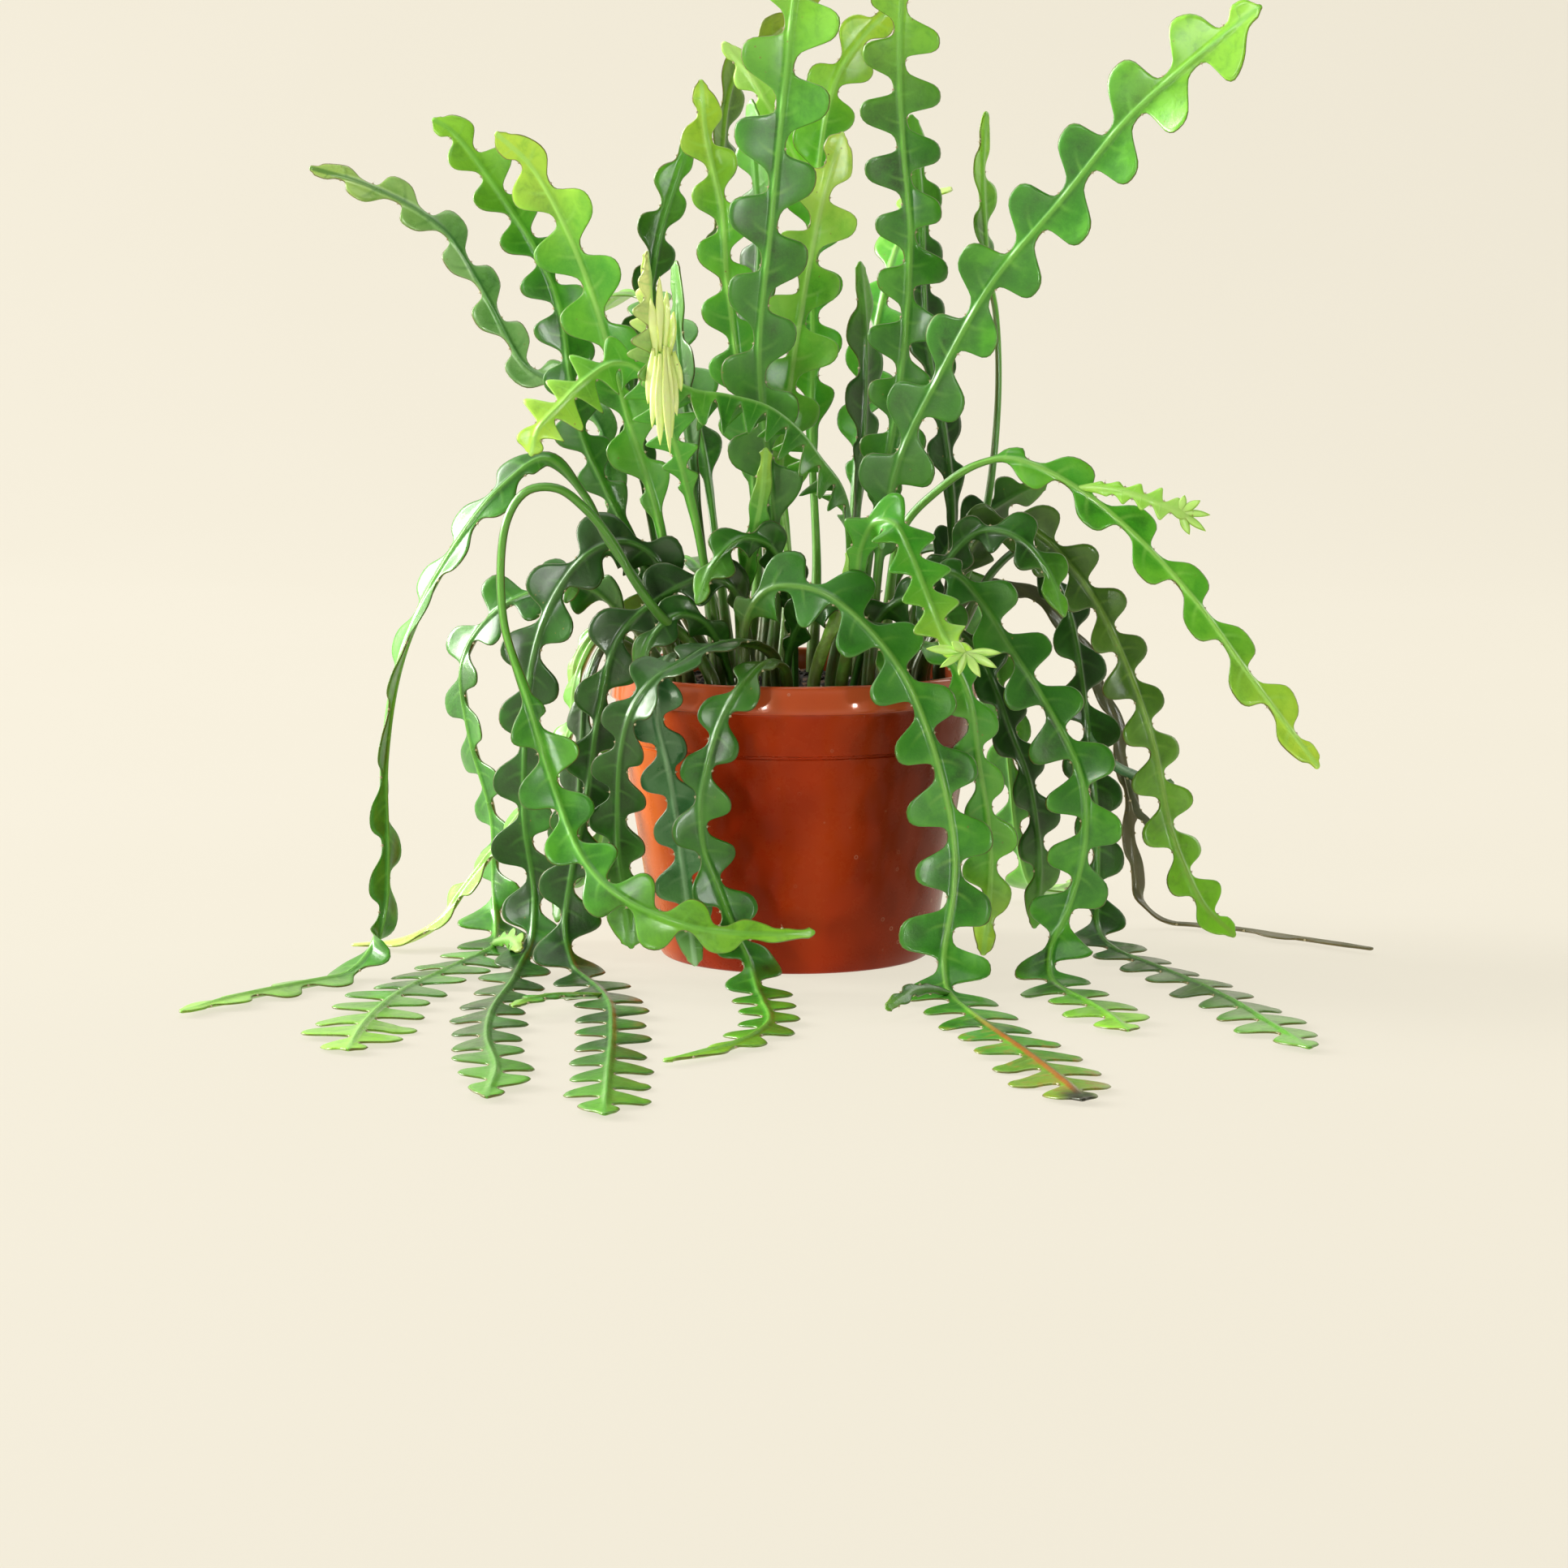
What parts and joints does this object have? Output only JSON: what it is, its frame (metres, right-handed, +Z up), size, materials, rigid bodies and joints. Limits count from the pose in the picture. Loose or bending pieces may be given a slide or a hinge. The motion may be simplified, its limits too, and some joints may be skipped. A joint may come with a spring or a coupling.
{
  "type": "potted fishbone cactus",
  "caption": "Trailing leaf cactus with flat zigzag-lobed stems, growing in soil in a round tapered plastic nursery pot.",
  "frame": {"origin": "centre of the underside of the pot", "axes": "+Z up along the pot's axis, -Y towards the viewer's side, +X to the viewer's right"},
  "size_m": [0.5225, 0.5825, 0.4634],
  "materials": {
    "terracotta_plastic": "gloss",
    "potting_soil": "matte",
    "green_stem": "satin",
    "new_growth": "satin",
    "aged_stem": "matte"
  },
  "bodies": {
    "root": {"pot": "terracotta_plastic", "soil": "potting_soil", "upright_stem_1": "green_stem", "upright_stem_2": "green_stem", "upright_stem_3": "green_stem", "upright_stem_4": "green_stem", "upright_stem_5": "green_stem", "upright_stem_6": "green_stem", "upright_stem_7": "green_stem", "upright_stem_8": "green_stem", "upright_stem_9": "green_stem", "upright_stem_10": "green_stem", "upright_stem_11": "green_stem", "upright_stem_12": "green_stem", "upright_stem_13": "green_stem", "upright_stem_14": "green_stem", "comb_arch_stem": "green_stem", "left_stem_1": "green_stem", "left_stem_2": "green_stem", "left_stem_3": "green_stem", "left_stem_4": "green_stem", "left_stem_5": "green_stem", "left_stem_6": "green_stem", "left_stem_7": "green_stem", "left_stem_8": "green_stem", "front_stem_1": "green_stem", "front_stem_2": "green_stem", "front_stem_3": "green_stem", "front_stem_4": "green_stem", "front_stem_5": "green_stem", "right_stem_1": "green_stem", "right_stem_2": "green_stem", "right_stem_3": "green_stem", "right_stem_4": "green_stem", "right_stem_5": "aged_stem", "right_stem_6": "green_stem", "right_stem_7": "green_stem", "right_stem_8": "green_stem", "new_shoot_front": "new_growth", "new_shoot_left": "new_growth", "new_shoot_middle": "new_growth", "back_stem_1": "green_stem", "back_stem_2": "green_stem", "back_stem_3": "green_stem", "back_stem_4": "green_stem", "back_stem_5": "green_stem", "back_stem_6": "green_stem", "back_stem_7": "green_stem", "back_stem_8": "green_stem"}
  },
  "joints": []
}
